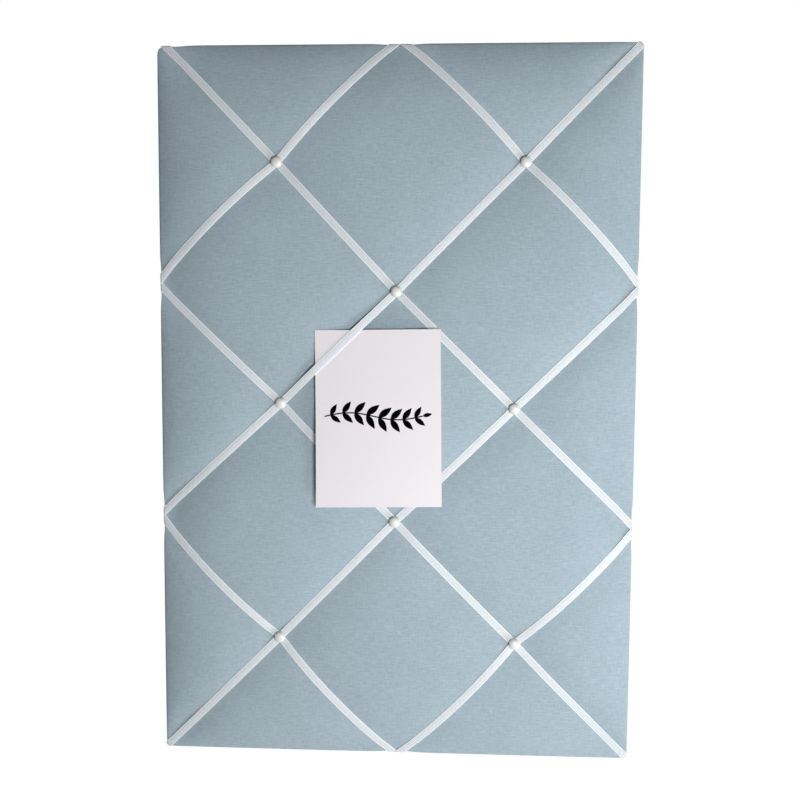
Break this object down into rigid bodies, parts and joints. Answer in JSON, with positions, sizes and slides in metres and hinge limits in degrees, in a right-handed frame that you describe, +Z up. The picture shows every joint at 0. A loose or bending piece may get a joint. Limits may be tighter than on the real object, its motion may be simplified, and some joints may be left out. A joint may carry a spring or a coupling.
{
  "type": "memo board",
  "caption": "Padded cloth memo board with crossed satin ribbons, dome-headed nails where they cross, ring hangers on the back and a card tucked under a ribbon.",
  "frame": {"origin": "middle of the bare panel's back face", "axes": "+Z up along the board's long side, +Y out of the back towards the wall, +X to the right of someone facing the front"},
  "size_m": [0.4032, 0.0283, 0.6032],
  "materials": {
    "cloth": "powder blue woven cotton with a linen look, matt",
    "wadding": "loose white polyester wadding",
    "satin_ribbon": "white satin ribbon with a woven edge",
    "nail_enamel": "cream satin enamel",
    "fibreboard": "bare brown fibreboard",
    "zinc_steel": "zinc-plated steel",
    "staple_steel": "bright galvanised wire",
    "card_stock": "smooth uncoated white card"
  },
  "bodies": {
    "board": {"panel": "fibreboard", "wadding": "wadding", "cloth_cover": "cloth", "falling_ribbon_1": "satin_ribbon", "falling_ribbon_2": "satin_ribbon", "falling_ribbon_3": "satin_ribbon", "falling_ribbon_4": "satin_ribbon", "rising_ribbon_1": "satin_ribbon", "rising_ribbon_2": "satin_ribbon", "rising_ribbon_3": "satin_ribbon", "rising_ribbon_4": "satin_ribbon", "nail_1": "nail_enamel", "nail_2": "nail_enamel", "nail_3": "nail_enamel", "nail_4": "nail_enamel", "nail_5": "nail_enamel", "nail_6": "nail_enamel", "nail_7": "nail_enamel", "nail_8": "nail_enamel", "hanger_strap_left": "zinc_steel", "hanger_strap_right": "zinc_steel", "hanger_screw_left": "zinc_steel", "hanger_screw_right": "zinc_steel", "hem_staple_1": "staple_steel", "hem_staple_2": "staple_steel", "hem_staple_3": "staple_steel", "hem_staple_4": "staple_steel", "hem_staple_5": "staple_steel", "hem_staple_6": "staple_steel", "hem_staple_7": "staple_steel", "hem_staple_8": "staple_steel", "hem_staple_9": "staple_steel", "hem_staple_10": "staple_steel", "tail_staple_1": "staple_steel", "tail_staple_2": "staple_steel", "tail_staple_3": "staple_steel", "tail_staple_4": "staple_steel", "tail_staple_5": "staple_steel", "tail_staple_6": "staple_steel", "tail_staple_7": "staple_steel", "tail_staple_8": "staple_steel", "tail_staple_9": "staple_steel", "tail_staple_10": "staple_steel", "tail_staple_11": "staple_steel", "tail_staple_12": "staple_steel", "tail_staple_13": "staple_steel", "tail_staple_14": "staple_steel", "tail_staple_15": "staple_steel", "tail_staple_16": "staple_steel"},
    "left_ring": {"hanger_ring_left": "zinc_steel"},
    "right_ring": {"hanger_ring_right": "zinc_steel"},
    "card": {"card": "card_stock"}
  },
  "joints": [
    {"name": "left_ring_swing", "type": "hinge", "parent": "board", "child": "left_ring", "pos_m": [-0.11, 0.0024, 0.18], "axis": [1, 0, 0], "range_deg": [0, 175]},
    {"name": "right_ring_swing", "type": "hinge", "parent": "board", "child": "right_ring", "pos_m": [0.11, 0.0024, 0.18], "axis": [1, 0, 0], "range_deg": [0, 175]},
    {"name": "card_slide", "type": "slide", "parent": "board", "child": "card", "axis": [0.7068, -0.0314, -0.7068], "range_m": [0, 0.06]}
  ]
}
